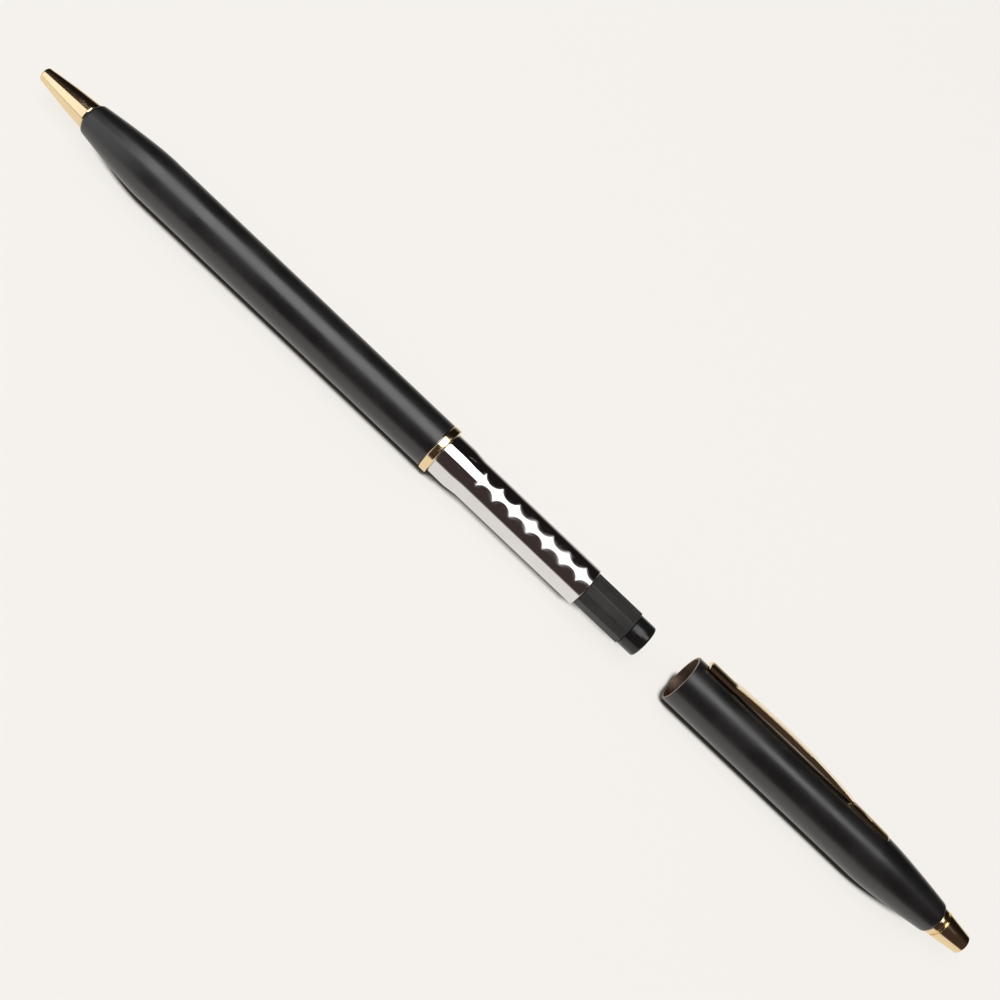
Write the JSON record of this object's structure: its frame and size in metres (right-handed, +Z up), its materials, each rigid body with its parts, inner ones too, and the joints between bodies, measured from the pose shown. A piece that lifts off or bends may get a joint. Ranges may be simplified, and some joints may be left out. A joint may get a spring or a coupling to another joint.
{
  "type": "ballpoint pen",
  "caption": "Slim twist-action ballpoint pen pulled apart: black barrel with a gold nose cone and ring, chrome twist mechanism with a faceted collar, and a black upper barrel with a gold clip.",
  "frame": {"origin": "on the table straight below the pen's axis, at the middle of the gold trim ring's width, on the ring's lowest facet", "axes": "+X along the pen from the writing end to the finial, +Y across the pen towards the side that the clip is on, +Z up from the table"},
  "size_m": [0.1839, 0.0087, 0.0087],
  "materials": {
    "gold_plate": "polished gold plate",
    "black_lacquer": "satin black lacquer on brass",
    "chrome_plate": "polished chrome plate",
    "bare_brass": "turned, bare",
    "bright_steel": "bright drawn",
    "matt_black_plastic": "matt moulded",
    "gloss_black_plastic": "gloss moulded",
    "white_acetal": "satin moulded",
    "black_rubber": "matt",
    "carbide": "ground and lapped",
    "blue_ink": "thick paste ink"
  },
  "bodies": {
    "barrel": {"nose_cone": "gold_plate", "lower_barrel": "black_lacquer", "trim_ring": "gold_plate", "mechanism_sleeve": "chrome_plate", "slider_guide": "bare_brass", "retaining_ring": "bare_brass"},
    "rotor": {"cam_spindle": "bright_steel", "drag_ring": "black_rubber", "twist_collar": "matt_black_plastic", "collar_end_plug": "gloss_black_plastic"},
    "refill": {"slider": "white_acetal", "refill_rear_plug": "matt_black_plastic", "refill_tube": "bright_steel", "ink_column": "blue_ink", "refill_point": "bare_brass"},
    "ball": {"writing_ball": "carbide"},
    "upper_barrel": {"cap_shell": "black_lacquer", "grip_bush": "matt_black_plastic", "cap_end_plug": "bare_brass", "top_ring": "gold_plate", "top_cone": "gold_plate", "top_stud": "bright_steel"},
    "clip": {"clip": "gold_plate"}
  },
  "joints": [
    {"name": "twist", "type": "hinge", "parent": "barrel", "child": "rotor", "pos_m": [0.03, 0, 0.00402], "axis": [-1, 0, 0], "range_deg": [0, 180]},
    {"name": "point_out", "type": "slide", "parent": "barrel", "child": "refill", "axis": [-1, 0, 0], "range_m": [0, 0.004]},
    {"name": "pull_off", "type": "slide", "parent": "rotor", "child": "upper_barrel", "axis": [1, 0, 0], "range_m": [-0.0475, 0]},
    {"name": "ball_roll", "type": "hinge", "parent": "refill", "child": "ball", "pos_m": [-0.078, 0, 0.00402], "axis": [0, 1, 0], "continuous": true},
    {"name": "clip_flex", "type": "hinge", "parent": "upper_barrel", "child": "clip", "pos_m": [0.08565, 0.00291, 0.00693], "axis": [0, 0.7071, -0.7071], "range_deg": [0, 4], "stiffness_Nm_per_rad": 0.8}
  ],
  "couplings": [
    {"joint": "twist", "follows": "point_out", "rad_per_m": 785.4}
  ]
}
